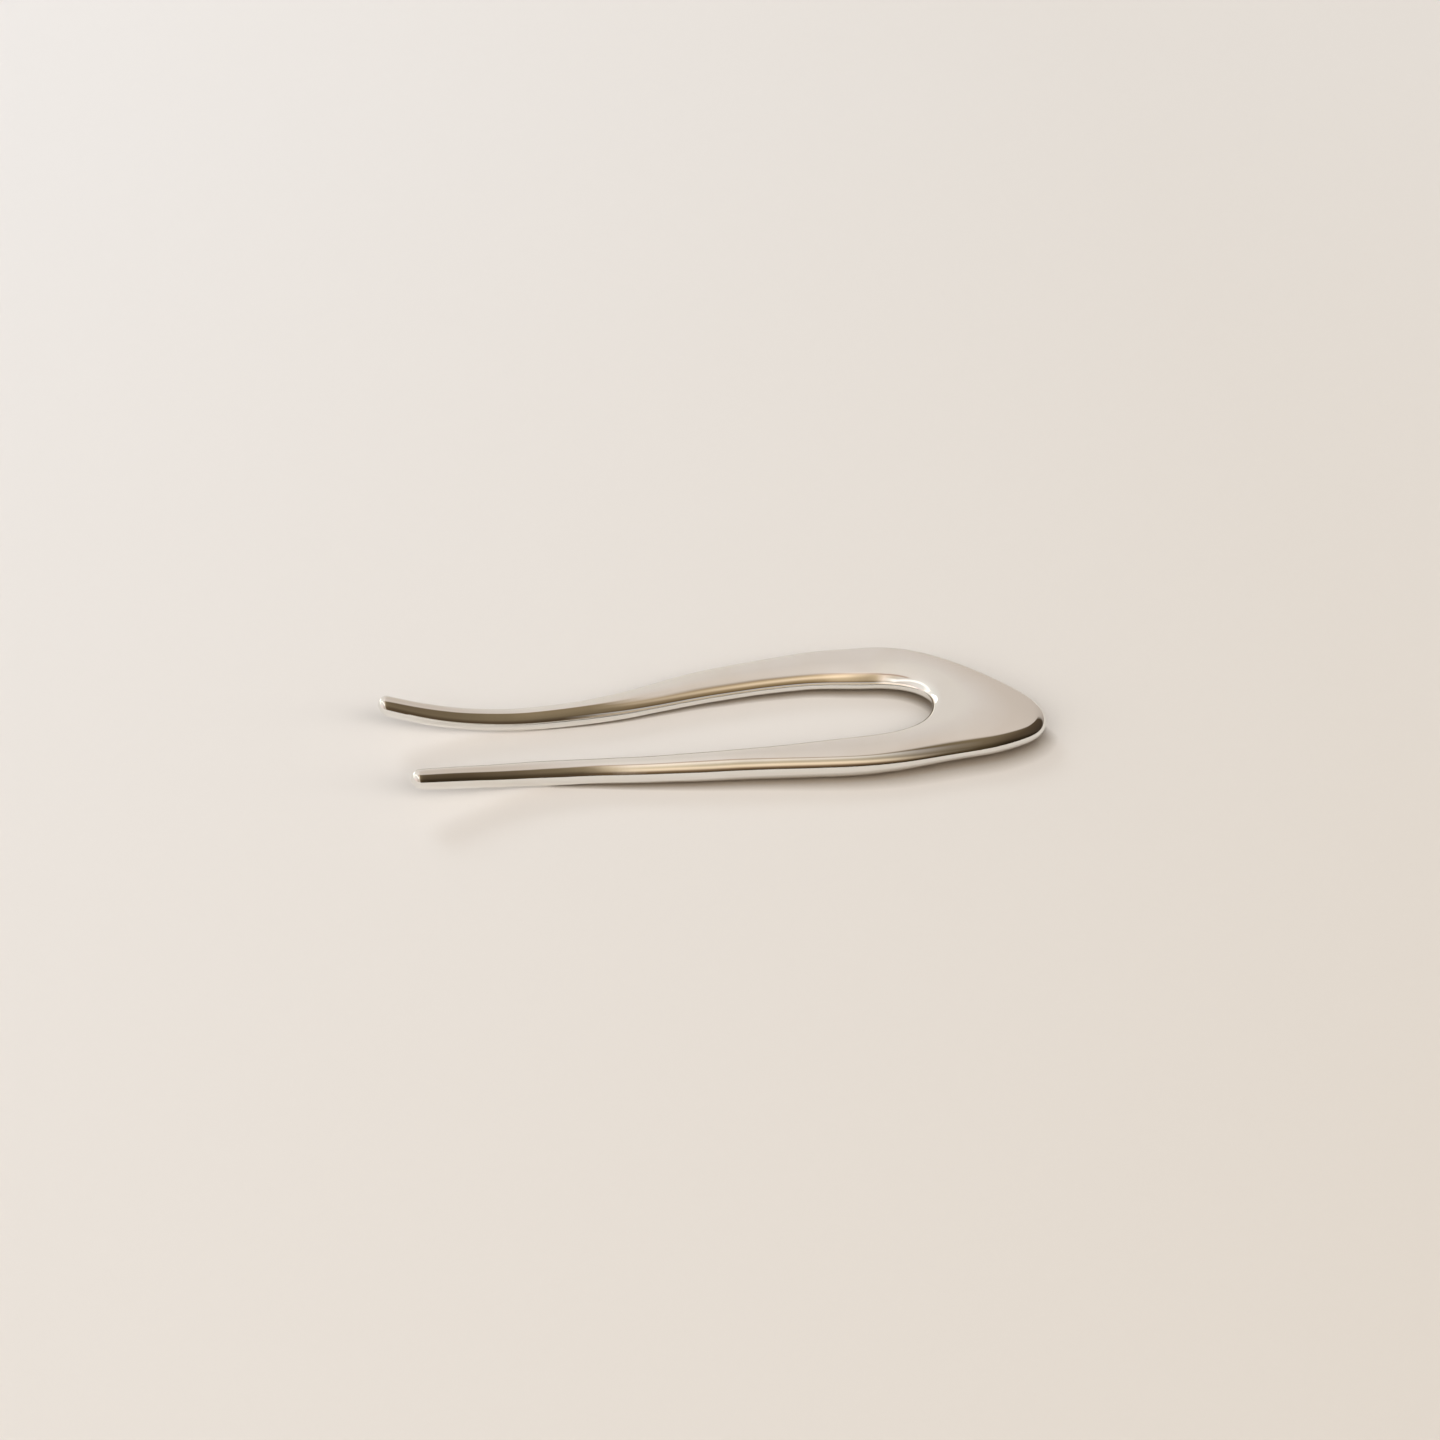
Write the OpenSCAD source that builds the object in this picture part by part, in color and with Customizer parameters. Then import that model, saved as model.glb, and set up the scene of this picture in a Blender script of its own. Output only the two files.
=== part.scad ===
// Hair fork: two round prongs that widen into flat legs and join in a wide head with a pointed nose.
// It lies on its underside. X runs from the tips to the nose, Y across the legs, Z up.
// The origin is under the middle of the whole outline, on the surface that the fork lies on.

/* [Prongs] */
// Reach of the shorter prong, from the round end of the gap to its tip
prong_reach = 86.7; // [70:0.1:105]
// How much further the longer prong reaches
long_prong_extra = 3.8; // [0:0.1:8]
// Diameter of a prong near its tip
prong_d = 3.5; // [2.5:0.1:4.5]
// Height of the tips' underside over the surface
tip_lift = 4.2; // [1:0.1:8]

/* [Legs] */
// Width of a leg where it meets the head
leg_w = 8.2; // [6:0.1:11]
// Thickness of the shorter prong's leg and of the head's edge
leg_t = 4.8; // [3.6:0.1:6]

/* [Gap] */
// Width of the gap where its round end begins
gap_w = 13.7; // [10:0.1:18]
// Length over which the round end of the gap closes
gap_end_l = 10; // [8:0.1:16]

/* [Head] */
// Length of the head, from the round end of the gap to the nose
head_l = 18; // [13:0.5:26]
// How far the nose leans towards the shorter prong's side
nose_lean = 6; // [0:0.1:7]
// Rise of the head's and legs' top over their edges, for each millimetre of their flat half width
dome = 0.05; // [0:0.01:0.09]
// Height of the nose's underside over the surface
nose_lift = 0.7; // [0:0.1:2]

/* [Edges] */
// How far a soft edge rolls inwards, for each millimetre of its half thickness
edge_roll = 1.8; // [1:0.05:2.2]

/* [Hidden] */

silver = [0.78, 0.77, 0.74];

// Rings between two rows of the tables, and the rings that round a tip
steps = 3;
tip_rings = 5;

// The section is a ring of points. Arcs round its two edges, and flats join the arcs.
arc_points = 11;
flat_points = 5;
arc_half_angle = 80;

// The widest that the roll at the gap's edge may be, as a share of the section's width
widest_roll = 0.65;

// Columns of a leg's table, which runs from the tip to the shoulder.
// The longer prong's leg is the wider one, and it is a little thinner.
ALONG = 0;   // place, as a share of the reach
SPREAD = 1;  // distance from the fork's middle line, as a share of the shoulder's
WIDE = 2;    // width, from 0 for the round prong to 1 for the full leg
THICK = 3;   // thickness, from 0 for the round prong to 1 for the full leg
LIFT = 4;    // height of the underside, as a share of the tips' lift
SOFT = 5;    // how soft the edge at the gap is, from 0 for half a circle to 1 for the full roll

short_leg = [
    [1.00, 0.87, 0.00, 0.00, 1.00, 0.00],
    [0.92, 0.77, 0.02, 0.05, 0.64, 0.00],
    [0.83, 0.68, 0.09, 0.15, 0.30, 0.00],
    [0.74, 0.64, 0.14, 0.28, 0.08, 0.00],
    [0.65, 0.69, 0.11, 0.44, 0.00, 0.00],
    [0.56, 0.78, 0.21, 0.66, 0.00, 0.00],
    [0.46, 0.84, 0.30, 0.90, 0.00, 0.00],
    [0.36, 0.89, 0.38, 1.00, 0.00, 0.00],
    [0.26, 0.93, 0.60, 1.00, 0.00, 0.00],
    [0.19, 0.95, 0.74, 1.00, 0.00, 0.00],
];
long_leg = [
    [1.00, 0.83, 0.00, 0.00, 1.00, 0.00],
    [0.92, 0.72, 0.00, 0.00, 0.50, 0.25],
    [0.83, 0.65, 0.00, 0.02, 0.18, 0.35],
    [0.74, 0.62, 0.02, 0.10, 0.03, 0.35],
    [0.65, 0.65, 0.06, 0.28, 0.00, 0.40],
    [0.56, 0.72, 0.32, 0.38, 0.00, 0.70],
    [0.46, 0.92, 0.60, 0.42, 0.00, 1.00],
    [0.36, 1.03, 0.72, 0.42, 0.00, 1.00],
    [0.26, 1.10, 0.83, 0.42, 0.00, 1.00],
    [0.19, 1.11, 1.00, 0.44, 0.00, 1.00],
];

// Columns of the head's table, which fans round the gap's end, from the shorter prong's shoulder
TURN = 0;     // where a rib leaves the gap's round end, in degrees from its middle
FORWARD = 1;  // how far forward the rib ends, as a share of the head's length
ASIDE = 2;    // how far aside the rib ends, as a share of the shoulder's half width
RISE = 3;     // height of the underside, as a share of the nose's lift
DEEP = 4;     // thickness, from 0 for the round prong to 1 for the full leg
SOFT_IN = 5;  // how soft the edge at the gap is, from 0 to 1
SOFT_OUT = 6; // how soft the outer edge is, from 0 to 1

head = [
    [-90, -0.64, -0.94, 0.00, 1.00, 0.00, 0.10],
    [-72, -0.38, -0.93, 0.10, 1.00, 0.00, 0.35],
    [-54, -0.10, -0.89, 0.20, 1.00, 0.20, 0.70],
    [-39, 0.18, -0.80, 0.35, 1.00, 0.40, 1.00],
    [-26, 0.45, -0.67, 0.55, 1.00, 0.60, 1.00],
    [-15, 0.70, -0.51, 0.75, 1.00, 0.80, 1.00],
    [-6, 0.93, -0.31, 0.90, 1.00, 0.90, 1.00],
    [0, 1.02, 0.01, 1.00, 1.00, 1.00, 0.80],
    [6, 0.91, 0.22, 0.90, 1.00, 1.00, 0.50],
    [15, 0.70, 0.44, 0.75, 0.95, 1.00, 0.25],
    [26, 0.45, 0.65, 0.55, 0.85, 1.00, 0.00],
    [39, 0.18, 0.82, 0.35, 0.75, 1.00, 0.00],
    [54, -0.10, 0.95, 0.20, 0.65, 1.00, 0.00],
    [72, -0.38, 1.04, 0.10, 0.55, 1.00, 0.00],
    [90, -0.64, 1.06, 0.00, 0.48, 1.00, 0.00],
];

leg_y = (gap_w + leg_w) / 2;
shoulder_y = gap_w / 2 + leg_w;

function mix(a, b, share) = a + (b - a) * share;
function unit(v) = v / norm(v);

// A rib is [inner x, inner y, outer x, outer y, thickness, lift, inner roll, outer roll].
// Side is 1 or -1 along Y.
function leg_centre(row, reach, side) =
    [-row[ALONG] * (reach - prong_d / 2), side * row[SPREAD] * leg_y];
function leg_rib(rows, i, reach, side) =
    let (row = rows[i],
         here = leg_centre(row, reach, side),
         before = leg_centre(rows[max(i - 1, 0)], reach, side),
         after = leg_centre(rows[min(i + 1, len(rows) - 1)], reach, side),
         run = unit(after - before),
         half = mix(prong_d, leg_w, row[WIDE]) / 2,
         out = side * [-run.y, run.x] * half)
    [here.x - out.x, here.y - out.y, here.x + out.x, here.y + out.y,
     mix(prong_d, leg_t, row[THICK]), tip_lift * row[LIFT], mix(1, edge_roll, row[SOFT]), 1];
function head_rib(row) =
    [-gap_end_l * (1 - cos(row[TURN])), gap_w / 2 * sin(row[TURN]),
     row[FORWARD] * head_l, row[ASIDE] * shoulder_y - nose_lean * max(row[FORWARD], 0),
     mix(prong_d, leg_t, row[DEEP]), nose_lift * row[RISE],
     mix(1, edge_roll, row[SOFT_IN]), mix(1, edge_roll, row[SOFT_OUT])];

short_ribs = [for (i = [0 : len(short_leg) - 1]) leg_rib(short_leg, i, prong_reach, -1)];
long_ribs = [for (i = [len(long_leg) - 1 : -1 : 0])
    leg_rib(long_leg, i, prong_reach + long_prong_extra, 1)];
head_ribs = [for (row = head) head_rib(row)];
ribs = concat(short_ribs, head_ribs, long_ribs);

// A cubic spline runs through the ribs from tip to tip. Its end rows are mirrored past the tips.
last = len(ribs) - 1;
guides = concat([2 * ribs[0] - ribs[1]], ribs, [2 * ribs[last] - ribs[last - 1]]);
function spline(i, t) =
    (guides[i] * pow(1 - t, 3)
     + guides[i + 1] * (3 * pow(t, 3) - 6 * pow(t, 2) + 4)
     + guides[i + 2] * (-3 * pow(t, 3) + 3 * pow(t, 2) + 3 * t + 1)
     + guides[i + 3] * pow(t, 3)) / 6;
smooth_ribs = concat(
    [for (i = [0 : last - 1], k = [0 : steps - 1]) spline(i, k / steps)],
    [spline(last - 1, 1)]);

// Shape of the section: each point is [place across the flat from -1 to 1, angle]
arc_angles = [for (k = [0 : arc_points - 1]) mix(-arc_half_angle, arc_half_angle, k / (arc_points - 1))];
flat_shares = [for (k = [1 : flat_points]) k / (flat_points + 1)];
section = concat(
    [for (a = arc_angles) [1, a]],
    [for (s = flat_shares) [mix(1, -1, s), mix(arc_half_angle, 180 - arc_half_angle, s)]],
    [for (a = arc_angles) [-1, 180 + a]],
    [for (s = flat_shares) [mix(-1, 1, s), 180 + mix(arc_half_angle, 180 - arc_half_angle, s)]]);

function rib_middle(rib) = [(rib[0] + rib[2]) / 2, (rib[1] + rib[3]) / 2, rib[5] + rib[4] / 2];
function rib_out(rib) = unit([rib[2] - rib[0], rib[3] - rib[1], 0]);
function rib_half(rib) = norm([rib[2] - rib[0], rib[3] - rib[1]]) / 2;

// One ring of the section, moved by shift and drawn in to the size share
function ring(rib, size = 1, shift = [0, 0, 0]) =
    let (thick = rib[4] / 2,
         flat = max(rib_half(rib) - thick, 0),
         crown = dome * flat,
         edge = thick - crown,
         reach_in = min(edge * rib[6], 2 * rib_half(rib) * widest_roll),
         reach_out = min(edge * rib[7], 2 * rib_half(rib) - reach_in))
    [for (p = section)
        let (reach = p[0] > 0 ? reach_out : reach_in)
        rib_middle(rib) + shift
        + rib_out(rib) * size * (p[0] * (rib_half(rib) - reach) + reach * cos(p[1]))
        + [0, 0, size * (edge + crown * (1 - p[0] * p[0])) * sin(p[1])]];

function tip_run(rib, inner) = unit(rib_middle(rib) - rib_middle(inner)) * prong_d / 2;
function tip_angle(k) = 90 * k / (tip_rings + 1);

end = len(smooth_ribs) - 1;
short_run = tip_run(smooth_ribs[0], smooth_ribs[1]);
long_run = tip_run(smooth_ribs[end], smooth_ribs[end - 1]);
rings = concat(
    [for (k = [tip_rings : -1 : 1])
        ring(smooth_ribs[0], cos(tip_angle(k)), short_run * sin(tip_angle(k)))],
    [for (rib = smooth_ribs) ring(rib)],
    [for (k = [1 : tip_rings])
        ring(smooth_ribs[end], cos(tip_angle(k)), long_run * sin(tip_angle(k)))]);

sides = len(section);
ring_points = [for (r = rings, p = r) p];
short_tip = len(ring_points);
long_tip = short_tip + 1;
skin_points = concat(ring_points,
    [rib_middle(smooth_ribs[0]) + short_run, rib_middle(smooth_ribs[end]) + long_run]);
function corner(r, k) = r * sides + k % sides;
skin_faces = concat(
    [for (k = [0 : sides - 1]) [short_tip, corner(0, k + 1), corner(0, k)]],
    [for (r = [0 : len(rings) - 2], k = [0 : sides - 1])
        [corner(r, k), corner(r, k + 1), corner(r + 1, k)]],
    [for (r = [0 : len(rings) - 2], k = [0 : sides - 1])
        [corner(r, k + 1), corner(r + 1, k + 1), corner(r + 1, k)]],
    [for (k = [0 : sides - 1])
        [long_tip, corner(len(rings) - 1, k), corner(len(rings) - 1, k + 1)]]);

// The middle of the outline, which the origin sits under
function middle(axis) =
    (min([for (p = skin_points) p[axis]]) + max([for (p = skin_points) p[axis]])) / 2;
floor_z = min([for (p = skin_points) p.z]);

// The whole fork, cast in one piece
module fork() {
    color(silver)
        translate([-middle(0), -middle(1), -floor_z])
            polyhedron(points = skin_points, faces = skin_faces, convexity = 4);
}

fork();
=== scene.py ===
# %% [markdown]
# # A polished silver hair fork
#
# A hair fork holds a bun. Two round prongs are pushed through the hair, they widen into flat legs,
# and the legs meet in a broad head that ends in a leaning nose. The real one is cast in one piece,
# filed to its shape and polished until it works as a mirror.
#
# A mirror has almost no colour of its own. What we see on it is its shape and its surroundings, so
# this lesson has two halves. The first builds a surface that is smooth enough to be a mirror. The
# second builds the room that the mirror shows: a pale ceiling, bright panes, and a darker side.

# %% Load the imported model
import math

import bmesh
import bpy
from mathutils import Matrix, Vector


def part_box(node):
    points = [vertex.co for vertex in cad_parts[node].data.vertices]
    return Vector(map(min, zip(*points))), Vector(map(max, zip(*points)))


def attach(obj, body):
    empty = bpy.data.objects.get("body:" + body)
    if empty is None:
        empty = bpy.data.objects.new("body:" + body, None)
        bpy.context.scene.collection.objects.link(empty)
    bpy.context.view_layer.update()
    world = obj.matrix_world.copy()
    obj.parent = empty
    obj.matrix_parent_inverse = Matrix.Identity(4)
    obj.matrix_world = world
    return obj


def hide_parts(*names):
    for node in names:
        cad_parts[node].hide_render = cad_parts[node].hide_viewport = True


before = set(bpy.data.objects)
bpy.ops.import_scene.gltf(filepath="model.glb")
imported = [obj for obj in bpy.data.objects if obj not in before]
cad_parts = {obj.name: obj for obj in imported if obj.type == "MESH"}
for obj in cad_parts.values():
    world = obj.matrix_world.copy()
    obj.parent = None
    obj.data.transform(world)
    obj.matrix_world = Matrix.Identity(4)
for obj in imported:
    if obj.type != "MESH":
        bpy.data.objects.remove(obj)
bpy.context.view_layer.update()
low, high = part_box("fork")
print("The packed fork measures", [round(1000 * side, 2) for side in high - low], "mm")

# %% [markdown]
# ## The fork's sizes
#
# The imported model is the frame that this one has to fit, so the sizes here are the ones that the
# fork was designed with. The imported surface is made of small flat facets, which a mirror would
# show as a patchwork. So the fork is built once more, as a cage of few points that Blender smooths.

# %% Sizes, in metres
MM = 0.001
PRONG_REACH = 86.7 * MM
LONG_PRONG_EXTRA = 3.8 * MM
PRONG_D = 3.5 * MM
TIP_LIFT = 4.2 * MM
LEG_W = 8.2 * MM
LEG_T = 4.8 * MM
GAP_W = 13.7 * MM
GAP_END_L = 10 * MM
HEAD_L = 18 * MM
NOSE_LEAN = 6 * MM
NOSE_LIFT = 0.7 * MM
DOME = 0.05
EDGE_ROLL = 1.8

# %% [markdown]
# ## Ribs
#
# A boat builder sets up ribs and bends planks over them. The fork can be built in the same way: a
# rib is a cut across the metal, and the ribs follow one another from one tip, round the head, to
# the other tip. A table with one row for each rib is easy to read and to change, and its lengths
# are shares of the sizes above. The other way is to push points about by eye, which leaves small
# bumps, and a mirror shows every one of them.

# %% Ribs of the two legs, from the tip to the shoulder
# Along the reach, spread from the middle line, width from prong to leg, thickness likewise, lift,
# softness of the edge at the gap
SHORT_LEG = [
    (1.00, 0.87, 0.00, 0.00, 1.00, 0.00),
    (0.92, 0.77, 0.02, 0.05, 0.64, 0.00),
    (0.83, 0.68, 0.09, 0.15, 0.30, 0.00),
    (0.74, 0.64, 0.14, 0.28, 0.08, 0.00),
    (0.65, 0.69, 0.11, 0.44, 0.00, 0.00),
    (0.56, 0.78, 0.21, 0.66, 0.00, 0.00),
    (0.46, 0.84, 0.30, 0.90, 0.00, 0.00),
    (0.36, 0.89, 0.38, 1.00, 0.00, 0.00),
    (0.26, 0.93, 0.60, 1.00, 0.00, 0.00),
    (0.19, 0.95, 0.74, 1.00, 0.00, 0.00),
]
LONG_LEG = [
    (1.00, 0.83, 0.00, 0.00, 1.00, 0.00),
    (0.92, 0.72, 0.00, 0.00, 0.50, 0.25),
    (0.83, 0.65, 0.00, 0.02, 0.18, 0.35),
    (0.74, 0.62, 0.02, 0.10, 0.03, 0.35),
    (0.65, 0.65, 0.06, 0.28, 0.00, 0.40),
    (0.56, 0.72, 0.32, 0.38, 0.00, 0.70),
    (0.46, 0.92, 0.60, 0.42, 0.00, 1.00),
    (0.36, 1.03, 0.72, 0.42, 0.00, 1.00),
    (0.26, 1.10, 0.83, 0.42, 0.00, 1.00),
    (0.19, 1.11, 1.00, 0.44, 0.00, 1.00),
]


def mix(start, end, share):
    return start + (end - start) * share


def leg_ribs(rows, reach, side):
    """One rib for each row: its ends, thickness, lift and the roll of its edges. Side is 1 or -1."""
    spread = (GAP_W + LEG_W) / 2
    length = reach - PRONG_D / 2
    middles = [Vector((-along * length, side * out * spread, 0)) for along, out, *_ in rows]
    ribs = []
    for i, (_, _, wide, thick, lift, soft) in enumerate(rows):
        run = middles[min(i + 1, len(rows) - 1)] - middles[max(i - 1, 0)]
        across = Vector((-run.y, run.x, 0)).normalized() * side
        half = mix(PRONG_D, LEG_W, wide) / 2
        ribs.append((middles[i] - across * half, middles[i] + across * half,
                     mix(PRONG_D, LEG_T, thick), TIP_LIFT * lift, mix(1, EDGE_ROLL, soft), 1.0))
    return ribs


# %% Ribs of the head, which fan round the end of the gap
# Turn in degrees, how far forward, how far aside, lift, thickness, softness at the gap and outside
HEAD = [
    (-90, -0.64, -0.94, 0.00, 1.00, 0.00, 0.10),
    (-72, -0.38, -0.93, 0.10, 1.00, 0.00, 0.35),
    (-54, -0.10, -0.89, 0.20, 1.00, 0.20, 0.70),
    (-39, 0.18, -0.80, 0.35, 1.00, 0.40, 1.00),
    (-26, 0.45, -0.67, 0.55, 1.00, 0.60, 1.00),
    (-15, 0.70, -0.51, 0.75, 1.00, 0.80, 1.00),
    (-6, 0.93, -0.31, 0.90, 1.00, 0.90, 1.00),
    (0, 1.02, 0.01, 1.00, 1.00, 1.00, 0.80),
    (6, 0.91, 0.22, 0.90, 1.00, 1.00, 0.50),
    (15, 0.70, 0.44, 0.75, 0.95, 1.00, 0.25),
    (26, 0.45, 0.65, 0.55, 0.85, 1.00, 0.00),
    (39, 0.18, 0.82, 0.35, 0.75, 1.00, 0.00),
    (54, -0.10, 0.95, 0.20, 0.65, 1.00, 0.00),
    (72, -0.38, 1.04, 0.10, 0.55, 1.00, 0.00),
    (90, -0.64, 1.06, 0.00, 0.48, 1.00, 0.00),
]


def head_ribs(rows):
    """A rib for each row, from the gap's round end out to the head's edge."""
    shoulder = GAP_W / 2 + LEG_W
    ribs = []
    for turn, forward, aside, rise, deep, soft, soft_outside in rows:
        angle = math.radians(turn)
        inner = Vector((-GAP_END_L * (1 - math.cos(angle)), GAP_W / 2 * math.sin(angle), 0))
        outer = Vector((forward * HEAD_L, aside * shoulder - NOSE_LEAN * max(forward, 0), 0))
        ribs.append((inner, outer, mix(PRONG_D, LEG_T, deep), NOSE_LIFT * rise,
                     mix(1, EDGE_ROLL, soft), mix(1, EDGE_ROLL, soft_outside)))
    return ribs


ribs = (
    leg_ribs(SHORT_LEG, PRONG_REACH, -1)
    + head_ribs(HEAD)
    + leg_ribs(LONG_LEG, PRONG_REACH + LONG_PRONG_EXTRA, 1)[::-1]
)
print(len(ribs), "ribs from tip to tip")

# %% [markdown]
# ## From a circle to a section
#
# Every section of this fork is a circle in disguise. On a prong it is nearly the circle itself. On
# a leg or the head it is the same circle with its halves pulled apart, and with a low crown on the
# flat between them. Because all the sections have the same points, they join up with no twist.
#
# Not every edge is a half round. Along the gap on the longer leg, and on the near side of the nose,
# it is filed into a half oval, which rolls over more softly. The roll says by how much: it is 1 for a
# half round and EDGE_ROLL for the softest edge.
#
# Subdivision pulls a ring of points inwards a little, and the share is known: a ring of n points
# shrinks to (2 + cos(360 / n)) / 3 of its radius. The circle starts larger by as much.

# %% Shape one ring into one section
SIDES = 28
STEP = 2 * math.pi / SIDES
RING_GROWTH = 3 / (2 + math.cos(STEP))
ARC_END = math.cos(5 * STEP)
WIDEST_ROLL = 0.65


def columns(ring):
    """The ring's points in columns, each with its share across the flat, from -1 to 1."""
    found = {}
    for vert in ring:
        share = round(max(-1.0, min(1.0, vert.co.x / ARC_END)), 3)
        found.setdefault(share, []).append(vert)
    return found.items()


def rib_place(rib):
    """The matrix that takes a flat ring to its rib: X goes outwards, and Y goes up."""
    inner, outer, thickness, lift, *_ = rib
    across = (outer - inner).normalized()
    middle = (inner + outer) / 2 + Vector((0, 0, lift + thickness / 2))
    turned = Matrix((across, (0, 0, 1), across.cross(Vector((0, 0, 1))))).transposed()
    return Matrix.Translation(middle) @ turned.to_4x4()


def shape_ring(bm, ring, rib, size=1.0, shift=Vector((0, 0, 0))):
    """Turns a circle of radius 1 at the origin into the rib's section, and puts it on the rib."""
    inner, outer, thickness, _, roll_inside, roll_outside = rib
    half = (outer - inner).length / 2
    flat = max(half - thickness / 2, 0)
    edge = thickness / 2 - DOME * flat
    reach_inside = min(edge * roll_inside, 2 * half * WIDEST_ROLL)
    reach_outside = min(edge * roll_outside, 2 * half - reach_inside)
    for share, column in columns(ring):
        reach = reach_outside if share > 0 else reach_inside
        height = edge + DOME * flat * (1 - share**2)
        bmesh.ops.scale(bm, vec=(reach, height, 1), verts=column)
        bmesh.ops.translate(bm, vec=(share * (half - reach), 0, 0), verts=column)
    bmesh.ops.scale(bm, vec=(size, size, 1), verts=ring)
    bmesh.ops.transform(bm, matrix=Matrix.Translation(shift) @ rib_place(rib), verts=ring)


# %% [markdown]
# ## Walking along the fork
#
# A spare circle waits at the origin. At each station it is extruded, which leaves two equal rings
# joined by faces. The older ring is shaped and carried to its station, and the newer one waits for
# the next. In this way the skin grows from tip to tip with only quads in it.
#
# A tip is half a ball. Its rings are the end rib's ring, drawn in by the cosine of an angle and
# moved out by the sine.

# %% List the stations from tip to tip
TIP_RINGS = 4
TIP_STEP = math.radians(90 / (TIP_RINGS + 1))


def rib_middle(rib):
    return rib_place(rib).translation


def tip_stations(end_rib, next_rib):
    """Stations that round the tip: the end rib again and again, smaller and further out."""
    run = (rib_middle(end_rib) - rib_middle(next_rib)).normalized() * PRONG_D / 2
    angles = [k * TIP_STEP for k in range(1, TIP_RINGS + 1)]
    return [(end_rib, math.cos(angle), run * math.sin(angle)) for angle in angles]


stations = (
    tip_stations(ribs[0], ribs[1])[::-1]
    + [(rib, 1.0, Vector((0, 0, 0))) for rib in ribs]
    + tip_stations(ribs[-1], ribs[-2])
)
print(len(stations), "stations")


# %% Extrude the skin
def extrude_ring(bm, ring):
    """Extrudes a closed ring and returns the new one."""
    around = [edge for edge in bm.edges if edge.verts[0] in ring and edge.verts[1] in ring]
    made = bmesh.ops.extrude_edge_only(bm, edges=around)["geom"]
    return {item for item in made if isinstance(item, bmesh.types.BMVert)}


cage = bmesh.new()
spare = set(bmesh.ops.create_circle(cage, cap_ends=False, radius=RING_GROWTH, segments=SIDES)["verts"])
end_rings = [spare]
for number, (rib, size, shift) in enumerate(stations):
    ring = spare
    if number < len(stations) - 1:
        spare = extrude_ring(cage, ring)
    shape_ring(cage, list(ring), rib, size, shift)
end_rings.append(ring)
print("The skin has", len(cage.faces), "quads")

# %% [markdown]
# ## Closing the tips
#
# A fan of triangles would meet in one point, and on a mirror that point shows as a small star. A
# grid of quads has no such point. It is filled in between two opposite quarters of the last ring,
# and its inner points are then cast onto the ball that the tip is.


# %% Fill each tip with a grid and round it
def quarter_edges(ring):
    """The edges of two opposite quarters of a closed ring."""
    start = min(ring, key=lambda vert: vert.index)
    loop = [start]
    while len(loop) < len(ring):
        nexts = [edge.other_vert(loop[-1]) for edge in loop[-1].link_edges if edge.is_boundary]
        loop.append([vert for vert in nexts if vert not in loop][0])
    quarter = len(loop) // 4
    chosen = [k for k in range(len(loop)) if k // quarter in (0, 2)]
    pairs = [{loop[k], loop[(k + 1) % len(loop)]} for k in chosen]
    return [edge for edge in cage.edges if edge.is_boundary and set(edge.verts) in pairs]


for ring, (end_rib, next_rib) in zip(end_rings, [(ribs[0], ribs[1]), (ribs[-1], ribs[-2])]):
    cage.verts.index_update()
    known = set(cage.verts)
    bmesh.ops.grid_fill(cage, edges=quarter_edges(ring), use_interp_simple=True)
    ball = rib_middle(end_rib)
    for vert in set(cage.verts) - known:
        vert.co = ball + (vert.co - ball).normalized() * PRONG_D / 2 * RING_GROWTH
bmesh.ops.recalc_face_normals(cage, faces=cage.faces)
open_edges = sum(edge.is_boundary for edge in cage.edges)
print("The closed cage has", len(cage.faces), "faces and", open_edges, "open edges")

# %% [markdown]
# ## Smoothing
#
# The Subdivision Surface modifier turns the cage into the smooth body. On a cage of regular quads
# its surface has no sudden change of curvature anywhere, and so the reflections run along the legs
# without a kink.
#
# A hand-filed fork is not perfectly smooth, though. Its faces rise and fall by a few hundredths of a
# millimetre over each centimetre. Nobody sees that as shape, but in the mirror it makes every edge
# of a reflection wander a little. A Displace modifier with a soft cloud texture does this in real
# geometry, so the mesh itself has it too.

# %% Make the piece
SMOOTH_LEVELS = 3
WAVE_LENGTH = 7 * MM
WAVE_HEIGHT = 0.10 * MM

fork = bpy.data.objects.new("fork_polished", bpy.data.meshes.new("fork_polished"))
bpy.context.scene.collection.objects.link(fork)
cage.to_mesh(fork.data)
cage.free()
fork.data.shade_smooth()

smooth = fork.modifiers.new("smooth skin", "SUBSURF")
smooth.levels = SMOOTH_LEVELS
smooth.render_levels = SMOOTH_LEVELS

waves = bpy.data.textures.new("filing waves", "CLOUDS")
waves.noise_scale = WAVE_LENGTH
waves.noise_depth = 0
uneven = fork.modifiers.new("filing waves", "DISPLACE")
uneven.texture = waves
uneven.texture_coords = "LOCAL"
uneven.strength = WAVE_HEIGHT

# %% [markdown]
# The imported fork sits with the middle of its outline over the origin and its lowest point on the
# surface. So the finished body is measured. The waves have made it a few hundredths of a millimetre
# too large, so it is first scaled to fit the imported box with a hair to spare. Then the cage is moved
# until the two boxes share their middle and their floor.


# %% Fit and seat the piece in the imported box
SPARE = 0.02 * MM


def finished_box(piece):
    """Lowest and highest corner of a piece, measured on the mesh that its modifiers make."""
    bpy.context.view_layer.update()
    finished = piece.evaluated_get(bpy.context.evaluated_depsgraph_get())
    points = [vert.co for vert in finished.to_mesh().vertices]
    lowest = Vector([min(point[axis] for point in points) for axis in range(3)])
    highest = Vector([max(point[axis] for point in points) for axis in range(3)])
    finished.to_mesh_clear()
    return lowest, highest


near, far = finished_box(fork)
fit = [(packed - SPARE) / made for packed, made in zip(high - low, far - near)]
fork.data.transform(Matrix.Diagonal((*fit, 1)))
near, far = finished_box(fork)
seat = (low + high - near - far) / 2
seat.z = low.z - near.z
fork.data.transform(Matrix.Translation(seat))
near, far = finished_box(fork)
print("The smooth fork measures", [round(1000 * side, 2) for side in far - near], "mm")

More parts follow.
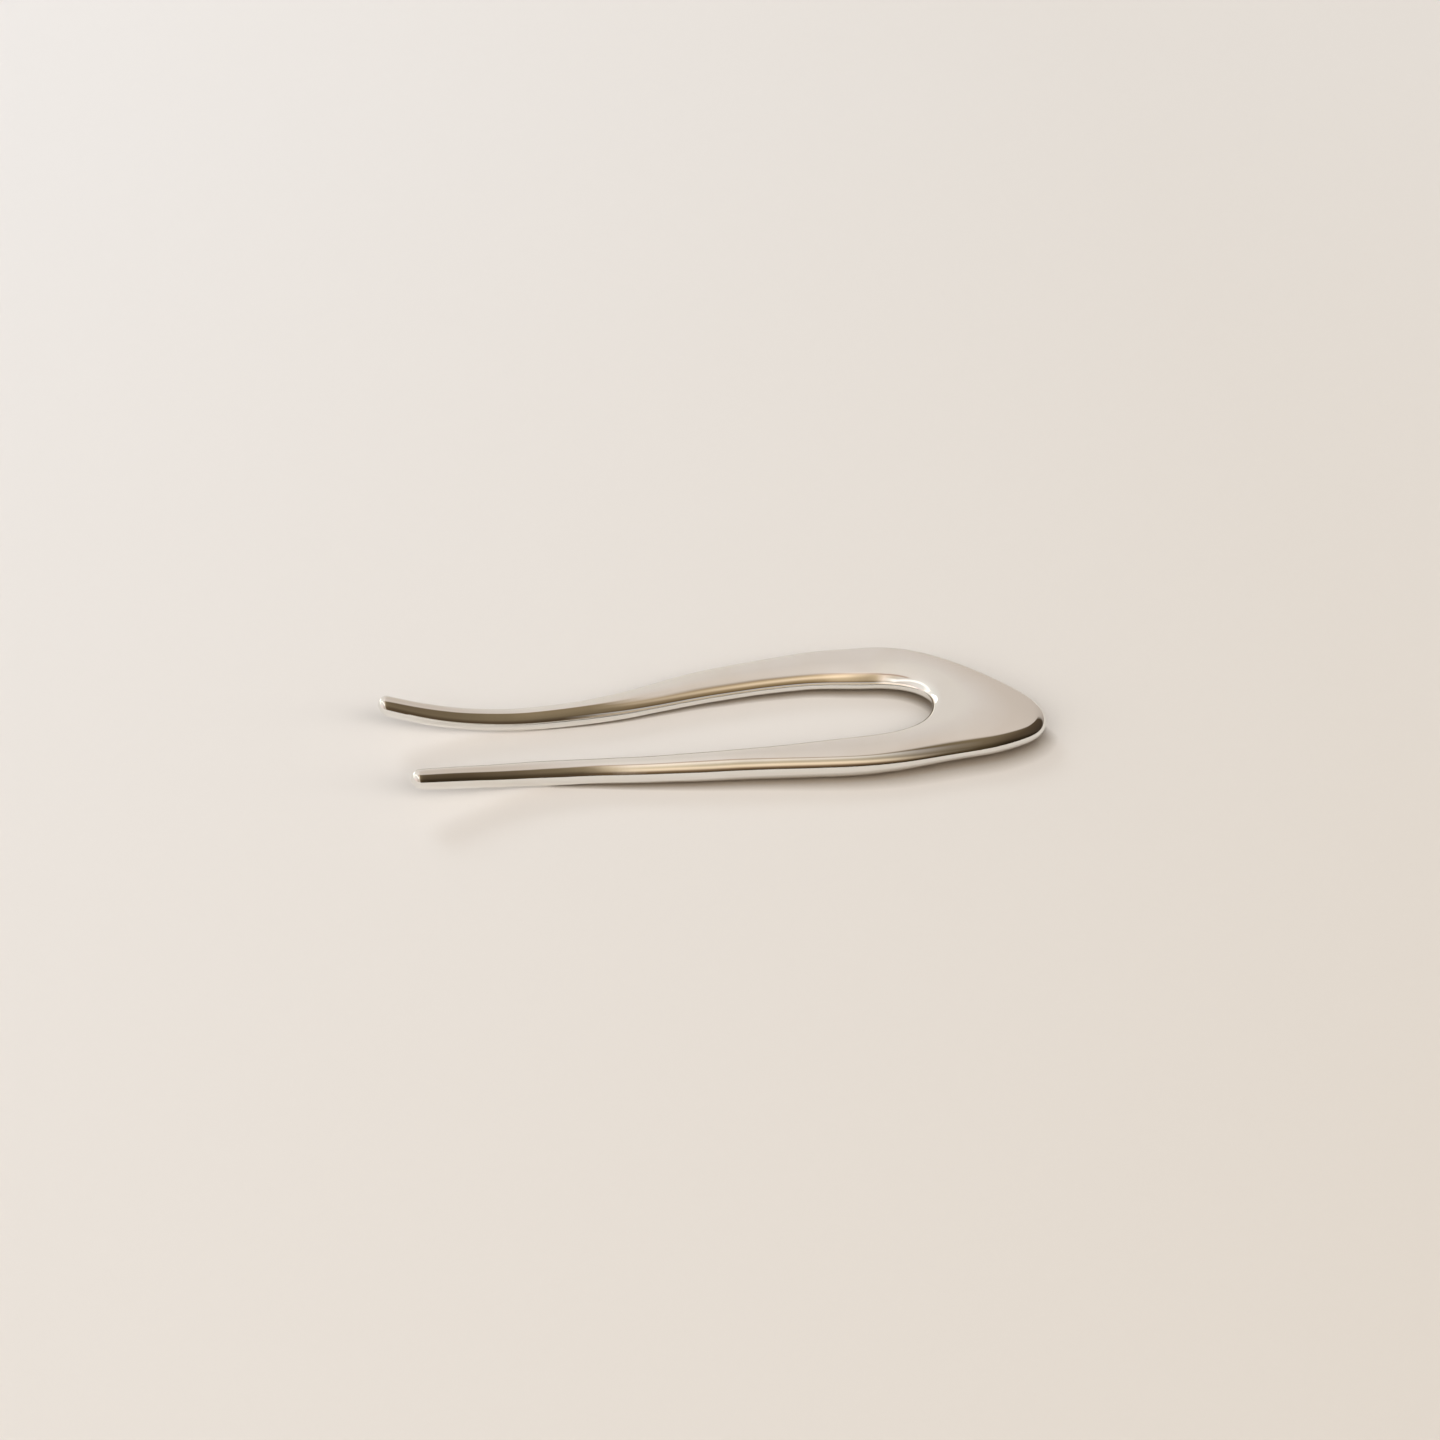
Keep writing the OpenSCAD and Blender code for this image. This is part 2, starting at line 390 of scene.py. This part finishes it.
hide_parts("fork")
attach(fork, "root")

# %% [markdown]
# ## Polished silver
#
# Silver is a metal, so all its colour is in the reflection. It is nearly neutral, and a touch warm.
# A piece that is polished by hand is never perfect: the cloth leaves fine lines along the prongs, so
# the sharpness of the mirror changes from place to place, and handling leaves faint warmer patches.

# %% Helpers for materials
def new_material(name):
    material = bpy.data.materials.new(name)
    material.use_nodes = True
    return material, material.node_tree.nodes, material.node_tree.links


def noise(nodes, links, coordinates, size, detail, stretch=(1, 1, 1)):
    """Noise whose features are about size across, in metres, drawn out by stretch."""
    mapping = nodes.new("ShaderNodeMapping")
    mapping.inputs["Scale"].default_value = [1 / (size * s) for s in stretch]
    texture = nodes.new("ShaderNodeTexNoise")
    texture.inputs["Scale"].default_value = 1.0
    texture.inputs["Detail"].default_value = detail
    links.new(coordinates, mapping.inputs["Vector"])
    links.new(mapping.outputs["Vector"], texture.inputs["Vector"])
    return texture.outputs["Fac"]


def map_range(nodes, links, value, old, new):
    node = nodes.new("ShaderNodeMapRange")
    node.inputs["From Min"].default_value, node.inputs["From Max"].default_value = old
    node.inputs["To Min"].default_value, node.inputs["To Max"].default_value = new
    links.new(value, node.inputs["Value"])
    return node.outputs["Result"]


def mix_colours(nodes, links, factor, first, second):
    """First where the factor is 0, second where it is 1. Each is a colour or a socket."""
    node = nodes.new("ShaderNodeMix")
    node.data_type = "RGBA"
    links.new(factor, node.inputs["Factor"])
    for socket, colour in ((node.inputs["A"], first), (node.inputs["B"], second)):
        if isinstance(colour, bpy.types.NodeSocket):
            links.new(colour, socket)
        else:
            socket.default_value = (*colour[:3], 1)
    return node.outputs["Result"]


# %% The silver
SILVER_TINT = (0.86, 0.85, 0.82)
HANDLED_TINT = (0.84, 0.82, 0.77)
CLOTH_LINE = 0.25 * MM
CLOTH_LINE_STRETCH = 40
ROUGHNESS = (0.02, 0.07)
HANDLED_PATCH = 9 * MM
UNEVEN_SPOT = 1.5 * MM
UNEVEN_DEPTH = 0.004 * MM

silver, nodes, links = new_material("polished silver")
shader = nodes["Principled BSDF"]
shader.inputs["Metallic"].default_value = 1.0
place = nodes.new("ShaderNodeTexCoord").outputs["Object"]

cloth_lines = noise(nodes, links, place, CLOTH_LINE, 2, stretch=(CLOTH_LINE_STRETCH, 1, 1))
links.new(map_range(nodes, links, cloth_lines, (0.35, 0.75), ROUGHNESS), shader.inputs["Roughness"])

patches = noise(nodes, links, place, HANDLED_PATCH, 3)
handled = map_range(nodes, links, patches, (0.45, 0.75), (0, 1))
links.new(mix_colours(nodes, links, handled, SILVER_TINT, HANDLED_TINT), shader.inputs["Base Color"])

bump = nodes.new("ShaderNodeBump")
bump.inputs["Distance"].default_value = UNEVEN_DEPTH
links.new(noise(nodes, links, place, UNEVEN_SPOT, 2), bump.inputs["Height"])
links.new(bump.outputs["Normal"], shader.inputs["Normal"])
fork.data.materials.append(silver)
print("The silver is made of", len(nodes), "nodes")

# %% [markdown]
# ## The floor
#
# The fork lies on a plain pale surface. It needs no texture, only the right warmth. The fall of the
# light across it is painted into its colour: it grows a little darker and warmer from left to right
# and a little bluer far away, so its tone is mixed across it in both ways.

# %% A pale floor
def multiplied(nodes, links, first, second):
    """One colour times another. Each is a socket or three numbers."""
    node = nodes.new("ShaderNodeVectorMath")
    node.operation = "MULTIPLY"
    for socket, colour in zip(node.inputs, (first, second)):
        if isinstance(colour, bpy.types.NodeSocket):
            links.new(colour, socket)
        else:
            socket.default_value = colour
    return node.outputs["Vector"]


FLOOR_SIZE = 4.0
# Painted fall of the light: lighter and cooler on the left, darker and warmer on the right, a little
# bluer far away.
PAPER_PAINTED_LIGHTER_LEFT = (0.812, 0.757, 0.706)
PAPER_PAINTED_DARKER_RIGHT = (0.752, 0.688, 0.622)
LEFT_TO_RIGHT = (-110 * MM, 110 * MM)
PAINTED_LIGHT_TINT_NEAR = (0.985, 0.975, 0.955)
PAINTED_LIGHT_TINT_FAR = (0.985, 1.005, 1.03)
NEAR_TO_FAR = (-170 * MM, 190 * MM)

floor_mesh = bmesh.new()
bmesh.ops.create_grid(floor_mesh, x_segments=1, y_segments=1, size=FLOOR_SIZE / 2)
floor = bpy.data.objects.new("floor", bpy.data.meshes.new("floor"))
floor_mesh.to_mesh(floor.data)
floor_mesh.free()
bpy.context.scene.collection.objects.link(floor)

paper, nodes, links = new_material("pale paper")
spot = nodes.new("ShaderNodeSeparateXYZ")
links.new(nodes.new("ShaderNodeTexCoord").outputs["Object"], spot.inputs["Vector"])
# Painted light: the paper's colour is mixed by place to stand in for the light's fall across it.
painted_falloff_to_right = map_range(nodes, links, spot.outputs["X"], LEFT_TO_RIGHT, (0, 1))
painted_falloff_to_far = map_range(nodes, links, spot.outputs["Y"], NEAR_TO_FAR, (0, 1))
paper_and_painted_falloff = mix_colours(nodes, links, painted_falloff_to_right, PAPER_PAINTED_LIGHTER_LEFT, PAPER_PAINTED_DARKER_RIGHT)
paper_and_painted_falloff = multiplied(nodes, links, paper_and_painted_falloff, mix_colours(nodes, links, painted_falloff_to_far, PAINTED_LIGHT_TINT_NEAR, PAINTED_LIGHT_TINT_FAR))
nodes["Principled BSDF"].inputs["Roughness"].default_value = 0.8
nodes["Principled BSDF"].inputs["Specular IOR Level"].default_value = 0.1
floor.data.materials.append(paper)

# %% [markdown]
# A thin warm shade lies on the floor close along the metal, where the two nearly touch and little
# light comes in between. The Ambient Occlusion node measures this: how much each point of the floor
# can see within a short reach. The reach is longest beside the head, whose edge is the highest, it is
# almost nothing under the raised prongs, and it is shorter inside the gap.

# %% The shade close along the fork
def math_node(nodes, links, operation, *values):
    node = nodes.new("ShaderNodeMath")
    node.operation = operation
    for socket, value in zip(node.inputs, values):
        if isinstance(value, (int, float)):
            socket.default_value = value
        else:
            links.new(value, socket)
    return node.outputs["Value"]


PRONGS_TO_HEAD = (-25 * MM, 35 * MM)
CONTACT_REACH = (0.7 * MM, 3.4 * MM)
LEG_TO_GAP = (-9 * MM, -5 * MM)
REACH_IN_GAP = 0.55
OPENNESS = (0.35, 0.97)
CONTACT_SHADE = (0.34, 0.29, 0.23)

reach = math_node(nodes, links, "MULTIPLY",
                  map_range(nodes, links, spot.outputs["X"], PRONGS_TO_HEAD, CONTACT_REACH),
                  map_range(nodes, links, spot.outputs["Y"], LEG_TO_GAP, (1, REACH_IN_GAP)))
closeness = nodes.new("ShaderNodeAmbientOcclusion")
closeness.samples = 4
links.new(reach, closeness.inputs["Distance"])
openness = map_range(nodes, links, closeness.outputs["AO"], OPENNESS, (0, 1))
shade = mix_colours(nodes, links, openness, CONTACT_SHADE, (1, 1, 1))
links.new(multiplied(nodes, links, paper_and_painted_falloff, shade), nodes["Principled BSDF"].inputs["Base Color"])

# %% [markdown]
# ## The room in the mirror
#
# Everything bright or dark on the fork is a picture of the room, so the room is painted on the world
# as a few soft shapes. A direction is told by two numbers: how far it points to the right, from -1
# to 1, and how far it has turned over, as a share of the way from the far horizon (0) through the
# zenith (0.5) to the near horizon (1). The legs run almost from left to right, so one turn of the
# eye round a leg's edge runs through the whole room in this order.

# %% The two numbers that tell a direction
VIEW_YAW = math.radians(8.5)

world = bpy.data.worlds.new("room")
world.use_nodes = True
bpy.context.scene.world = world
nodes, links = world.node_tree.nodes, world.node_tree.links

facing = nodes.new("ShaderNodeMapping")
facing.inputs["Rotation"].default_value = (0, 0, VIEW_YAW)
links.new(nodes.new("ShaderNodeTexCoord").outputs["Generated"], facing.inputs["Vector"])
parts = nodes.new("ShaderNodeSeparateXYZ")
links.new(facing.outputs["Vector"], parts.inputs["Vector"])
right = parts.outputs["X"]
half_turns = math_node(nodes, links, "ARCTAN2", parts.outputs["Z"], parts.outputs["Y"])
turned = math_node(nodes, links, "DIVIDE", half_turns, math.pi)

# %% [markdown]
# A colour in the room is easiest to choose as it shows on the silver. The silver darkens it by its
# own tint and the screen stores it on a curve, so a small function goes back the other way.


# %% Colours of the room, as they show on the silver
def linear(level):
    share = level / 255
    return share / 12.92 if share <= 0.04045 else ((share + 0.055) / 1.055) ** 2.4


def seen_on_silver(red, green, blue, gain=1.0):
    """The light that silver shows as this screen colour, made brighter by the gain."""
    return [gain * linear(level) / part for level, part in zip((red, green, blue), SILVER_TINT)] + [1]


def ramp(nodes, links, value, stops):
    """A colour ramp: each stop is a position from 0 to 1 and a colour."""
    node = nodes.new("ShaderNodeValToRGB")
    elements = node.color_ramp.elements
    while len(elements) < len(stops):
        elements.new(0.5)
    for element, (position, colour) in zip(elements, stops):
        element.position = position
        element.color = colour
    links.new(value, node.inputs["Fac"])
    return node.outputs["Color"]


def across_room(stops, colour=seen_on_silver):
    """A ramp from left to right: each stop is how far right, from -1 to 1, and a colour."""
    rightness = map_range(nodes, links, right, (-1, 1), (0, 1))
    return ramp(nodes, links, rightness, [((stop + 1) / 2, colour(*levels)) for stop, *levels in stops])


def grey(level):
    return (level, level, level, 1)


def band(nodes, links, value, middle, half_width, softness):
    """1 within half the width of the middle, then 0 past a soft edge."""
    off = math_node(nodes, links, "ABSOLUTE", math_node(nodes, links, "SUBTRACT", value, middle))
    edges = (half_width - softness / 2, half_width + softness / 2)
    return map_range(nodes, links, off, edges, (1, 0))


def scaled(nodes, links, colour, factor):
    """A colour times a factor, which may be a socket."""
    node = nodes.new("ShaderNodeVectorMath")
    node.operation = "SCALE"
    for socket, value in ((node.inputs["Vector"], colour), (node.inputs["Scale"], factor)):
        if isinstance(value, bpy.types.NodeSocket):
            links.new(value, socket)
        else:
            socket.default_value = value
    return node.outputs["Vector"]


# %% [markdown]
# The far wall and the ceiling are one calm field, pale on the left and greyer to the right. Straight
# over the fork it is a little brighter than behind it.

# %% Ceiling
OVERHEAD = (0.24, 0.40)
OVERHEAD_GAIN = 1.10

room = across_room([
    (-1.0, 250, 245, 235),
    (-0.75, 225, 220, 210),
    (-0.4, 215, 206, 196),
    (-0.06, 214, 205, 194),
    (0.0, 210, 200, 190),
    (0.16, 198, 185, 172),
    (0.65, 184, 172, 160),
    (1.0, 115, 105, 95),
])
brighter = map_range(nodes, links, turned, OVERHEAD, (1, OVERHEAD_GAIN))
room = scaled(nodes, links, room, brighter)

# %% [markdown]
# The near wall fills the rest. It is pale on the left and olive in the middle, and to the right it is
# deep in shade. It darkens downwards. Its top edge comes over the zenith on the right, because the
# wall turns the corner there, and on the left a thin brown moulding runs along it.

# %% Near wall
WALL_EDGE = (-0.03, 0.03)

wall = across_room([
    (-1.0, 235, 230, 220),
    (-0.35, 215, 205, 195),
    (-0.22, 210, 195, 175),
    (-0.12, 240, 220, 200),
    (-0.03, 190, 170, 140),
    (0.06, 142, 124, 97),
    (0.2, 115, 100, 77),
    (0.35, 105, 90, 70),
    (0.55, 80, 66, 50),
    (1.0, 60, 50, 40),
])
wall_top = across_room([
    (-0.3, 0.50),
    (-0.1, 0.49),
    (0.0, 0.465),
    (0.25, 0.475),
    (0.45, 0.43),
    (0.57, 0.28),
    (0.75, 0.20),
    (1.0, 0.05),
], colour=grey)
past_top = math_node(nodes, links, "SUBTRACT", turned, wall_top)
room = mix_colours(nodes, links, map_range(nodes, links, past_top, WALL_EDGE, (0, 1)), room, wall)

# %% Moulding along the top of the wall
MOULDING = seen_on_silver(185, 162, 145)
MOULDING_LEFT_END = (-0.42, -0.34)
MOULDING_RIGHT_END = (0.10, 0.0)

along_top = band(nodes, links, past_top, middle=0.01, half_width=0.022, softness=0.02)
ends = math_node(nodes, links, "MULTIPLY",
                 map_range(nodes, links, right, MOULDING_LEFT_END, (0, 1)),
                 map_range(nodes, links, right, MOULDING_RIGHT_END, (0, 1)))
on_moulding = math_node(nodes, links, "MULTIPLY", along_top, ends)
room = mix_colours(nodes, links, on_moulding, room, MOULDING)

# %% [markdown]
# Low on the near side everything is dark, and on the left a row of bright panes climbs along the
# wall and over the fork. These are the whitest things in the mirror. One more pane, low on the left
# behind the fork, makes the white points on the prongs' tips.

# %% Skirting and panes
SKIRTING_EDGE = (0.70, 0.86)

skirting = across_room([
    (-0.8, 235, 215, 205),
    (-0.45, 190, 175, 160),
    (-0.15, 200, 185, 170),
    (0.0, 95, 78, 57),
    (0.2, 75, 61, 45),
    (0.4, 68, 56, 38),
    (0.62, 45, 36, 24),
])
low_down = map_range(nodes, links, turned, SKIRTING_EDGE, (0, 1))
room = mix_colours(nodes, links, low_down, room, skirting)

PANES = seen_on_silver(255, 250, 240, gain=1.15)
PANES_FADE = (-0.10, -0.30)

panes_middle = across_room([
    (-1.0, 0.27),
    (-0.8, 0.37),
    (-0.67, 0.467),
    (-0.55, 0.54),
    (-0.45, 0.62),
    (-0.32, 0.72),
    (-0.1, 0.67),
], colour=grey)
off_middle = math_node(nodes, links, "SUBTRACT", turned, panes_middle)
on_panes = math_node(nodes, links, "MULTIPLY",
                     band(nodes, links, off_middle, middle=0, half_width=0.07, softness=0.06),
                     map_range(nodes, links, right, PANES_FADE, (0, 1)))
room = mix_colours(nodes, links, on_panes, room, PANES)

TIP_PANE = seen_on_silver(255, 252, 246, gain=2.0)

on_tip_pane = math_node(nodes, links, "MULTIPLY",
                        band(nodes, links, turned, middle=0.03, half_width=0.10, softness=0.06),
                        band(nodes, links, right, middle=-0.75, half_width=0.13, softness=0.06))
room = mix_colours(nodes, links, on_tip_pane, room, TIP_PANE)

# %% [markdown]
# The mirror sees this room, but the floor doesn't need its detail. A diffuse surface gathers light
# from everywhere, so its share comes from a plain dome. In the photo the raised prongs throw hardly
# any shadow that shows, so most of the light comes from high on the viewer's side: its shadows fall
# behind the metal, where the viewer doesn't see them.

# %% The dome that lights the floor
DOME_COLOUR = (0.84, 0.827, 0.811)
DOME_STRENGTHS = [
    (0.0, 0.1),
    (0.3, 0.2),
    (0.38, 0.4),
    (0.62, 0.6),
    (0.66, 1.6),
    (0.69, 5.0),
    (0.76, 5.0),
    (0.8, 1.6),
    (0.86, 0.8),
    (1.0, 0.6),
]

strength = ramp(nodes, links, turned, [(position, grey(level)) for position, level in DOME_STRENGTHS])
dome = multiplied(nodes, links, strength, DOME_COLOUR)
to_floor = nodes.new("ShaderNodeLightPath").outputs["Is Diffuse Ray"]
links.new(mix_colours(nodes, links, to_floor, room, dome), nodes["Background"].inputs["Color"])
print("The room is made of", len(nodes), "nodes")

# %% [markdown]
# ## The window
#
# Two weak, wide shadows fall from the raised prongs, to the right and towards the viewer. So there is
# a window on the left behind the fork. It is cooler than the room, which makes its shadows look warm
# and the far left corner of the floor a little bluer; the floor's painted tint adds to that blue. The
# silver shows the painted room instead of this light, so it is hidden from the mirror.

# %% A window of light
WINDOW_WAY = Vector((-0.445, 0.708, 0.549)).normalized()
WINDOW_DISTANCE = 1.6
WINDOW_SIZE = 0.5
WINDOW_POWER = 6.5
WINDOW_COLOUR = (0.80, 0.90, 1.0)

to_scene = Matrix.Rotation(-VIEW_YAW, 3, "Z")

window_light = bpy.data.lights.new("window", "AREA")
window_light.shape = "SQUARE"
window_light.size = WINDOW_SIZE
window_light.energy = WINDOW_POWER
window_light.color = WINDOW_COLOUR
window = bpy.data.objects.new("window", window_light)
window.location = to_scene @ WINDOW_WAY * WINDOW_DISTANCE
window.rotation_euler = (to_scene @ WINDOW_WAY).to_track_quat("Z", "Y").to_euler()
window.visible_glossy = False
bpy.context.scene.collection.objects.link(window)

# %% [markdown]
# ## Two warm strips
#
# The edges of the legs that look at the viewer show warm tan, while the prongs and the nose show the
# dark wall in the same direction. So what they show is close by, like the strips of light that a
# photographer holds over a piece of silver. One strip serves each leg. Its colours are told by the
# angle at which the leg's edge sees them, and they come on top of the wall behind it. A strip glows
# only in the mirror: the camera and the floor don't know of it.

# %% A strip of light over the edge of a leg
WATTS_TO_SHINE_WHITE = 4.0


def paint_strip(strip, leg_edge, turn, colours, along):
    """Gives a strip its colours, told by the angle over the near horizon, and fades its ends."""
    nodes, links = strip.node_tree.nodes, strip.node_tree.links
    from_edge = nodes.new("ShaderNodeMapping")
    from_edge.vector_type = "TEXTURE"
    from_edge.inputs["Location"].default_value = leg_edge
    from_edge.inputs["Rotation"].default_value = (0, 0, math.radians(turn))
    links.new(nodes.new("ShaderNodeNewGeometry").outputs["Position"], from_edge.inputs["Vector"])
    spot = nodes.new("ShaderNodeSeparateXYZ")
    links.new(from_edge.outputs["Vector"], spot.inputs["Vector"])

    nearness = math_node(nodes, links, "MULTIPLY", spot.outputs["Y"], -1)
    risen = math_node(nodes, links, "ARCTAN2", spot.outputs["Z"], nearness)
    half_turns = math_node(nodes, links, "DIVIDE", risen, math.pi)
    colour_stops = [(rise / 180, seen_on_silver(*levels)) for rise, *levels in colours]
    colour = ramp(nodes, links, half_turns, colour_stops)

    ends = (-strip.size / 2, strip.size / 2)
    along_share = map_range(nodes, links, spot.outputs["X"], ends, (0, 1))
    fade = ramp(nodes, links, along_share, [(position, grey(level)) for position, level in along])
    links.new(scaled(nodes, links, colour, fade), nodes["Emission"].inputs["Color"])


def light_strip(name, leg_edge, turn, facing, distance, length, width, colours, along):
    """A flat light that faces a leg's edge from an angle, in degrees over the near horizon."""
    strip = bpy.data.lights.new(name, "AREA")
    strip.shape = "RECTANGLE"
    strip.size = length
    strip.size_y = width
    strip.energy = WATTS_TO_SHINE_WHITE * length * width
    strip.use_nodes = True
    paint_strip(strip, leg_edge, turn, colours, along)

    rise = math.radians(facing)
    way = Matrix.Rotation(math.radians(turn), 3, "Z") @ Vector((0, -math.cos(rise), math.sin(rise)))
    holder = bpy.data.objects.new(name, strip)
    holder.location = leg_edge + way * distance
    holder.rotation_euler = (math.radians(90 - facing), 0, math.radians(turn))
    holder.visible_camera = False
    holder.visible_diffuse = False
    bpy.context.scene.collection.objects.link(holder)
    print(name, "shines from", colours[0][0], "to", colours[-1][0], "degrees over the near horizon")


# %% The two strips
light_strip(
    "strip_near_leg",
    leg_edge=Vector((11.5 * MM, -13.4 * MM, 4.1 * MM)),
    turn=-5.5,
    facing=50,
    distance=7 * MM,
    length=67 * MM,
    width=16 * MM,
    colours=[
        (4, 0, 0, 0),
        (12, 65, 50, 35),
        (18, 118, 98, 78),
        (25, 175, 155, 130),
        (32, 200, 182, 157),
        (40, 205, 187, 162),
        (48, 170, 157, 138),
        (56, 126, 118, 105),
        (64, 135, 130, 118),
        (82, 177, 173, 168),
        (90, 173, 170, 168),
        (97, 0, 0, 0),
    ],
    along=[(0.0, 0.0), (0.06, 0.25), (0.10, 0.55), (0.16, 0.75), (0.21, 0.8), (0.4, 0.92),
           (0.67, 0.92), (0.74, 0.8), (0.83, 0.45), (0.92, 0.12), (1.0, 0.0)],
)
light_strip(
    "strip_far_leg",
    leg_edge=Vector((5 * MM, 7.5 * MM, 3.2 * MM)),
    turn=3,
    facing=62,
    distance=6 * MM,
    length=48 * MM,
    width=10.4 * MM,
    colours=[
        (22, 0, 0, 0),
        (35, 75, 56, 33),
        (46, 91, 76, 48),
        (57, 125, 105, 80),
        (64, 170, 150, 125),
        (71, 197, 177, 150),
        (78, 192, 172, 145),
        (85, 160, 140, 115),
        (96, 70, 60, 48),
        (101, 0, 0, 0),
    ],
    along=[(0.0, 0.0), (0.08, 0.15), (0.16, 0.38), (0.34, 0.55), (0.57, 0.82), (0.77, 0.88),
           (0.88, 0.8), (0.95, 0.4), (1.0, 0.0)],
)

# %% [markdown]
# ## The camera
#
# The picture is taken with a long lens from 0.63 m, looking down by 41 degrees and turned a little
# round the fork, so that the legs run almost level across it.

# %% The camera
LOOK_AT = Vector((1.72 * MM, 3.50 * MM, 0))
VIEW_DISTANCE = 632 * MM
VIEW_DOWN = math.radians(41)

lens = bpy.data.cameras.new("camera")
lens.lens = 95.75
lens.sensor_width = 36
lens.clip_start = 0.01
camera = bpy.data.objects.new("camera", lens)
back = Vector((0, -math.cos(VIEW_DOWN), math.sin(VIEW_DOWN)))
camera.location = LOOK_AT + to_scene @ back * VIEW_DISTANCE
camera.rotation_euler = (to_scene @ back).to_track_quat("Z", "Y").to_euler()
bpy.context.scene.collection.objects.link(camera)
bpy.context.scene.camera = camera
bpy.context.scene.view_settings.view_transform = "Standard"
bpy.context.scene.cycles.use_denoising = True
